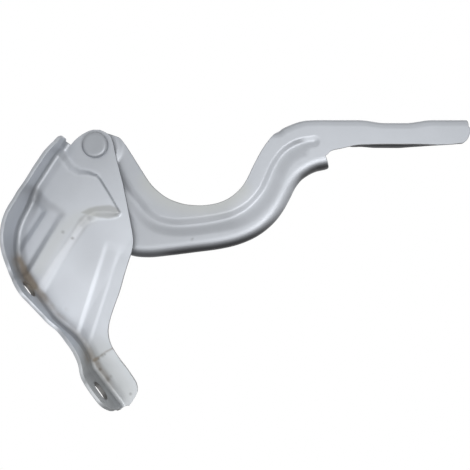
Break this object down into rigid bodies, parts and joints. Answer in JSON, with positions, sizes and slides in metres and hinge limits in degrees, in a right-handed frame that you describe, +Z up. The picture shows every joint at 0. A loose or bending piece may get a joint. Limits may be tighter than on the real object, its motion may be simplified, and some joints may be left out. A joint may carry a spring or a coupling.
{
  "type": "hood hinge",
  "caption": "Riveted gooseneck hinge for a vehicle hood: a pressed body bracket with a slotted bolt flange and a swinging arm with a flat hood flange.",
  "frame": {"origin": "on the outer face of the bracket's upper seating pad, 12 mm along the pad from the upper bolt slot's centre", "axes": "+X along the hood bar away from the pivot, +Z up and square to the hood flange, +Y along the pivot from the rivet's front head to its formed head; the pose is the one in the picture"},
  "size_m": [0.345, 0.0674, 0.2194],
  "materials": {
    "silver_paint": "satin silver-grey paint, dirty along the bracket's fold",
    "bearing_liner": "matte dark bearing liner"
  },
  "bodies": {
    "body_side": {"bracket": "silver_paint", "pivot_rivet": "silver_paint", "backing_washer": "silver_paint"},
    "hood_side": {"hood_arm": "silver_paint", "flanged_bush": "bearing_liner", "thrust_washer": "bearing_liner"}
  },
  "joints": [
    {"name": "hood_swing", "type": "hinge", "parent": "body_side", "child": "hood_side", "pos_m": [0.04065, 0.0125, 0.11792], "axis": [0, -1, 0], "range_deg": [-54, 16]}
  ]
}
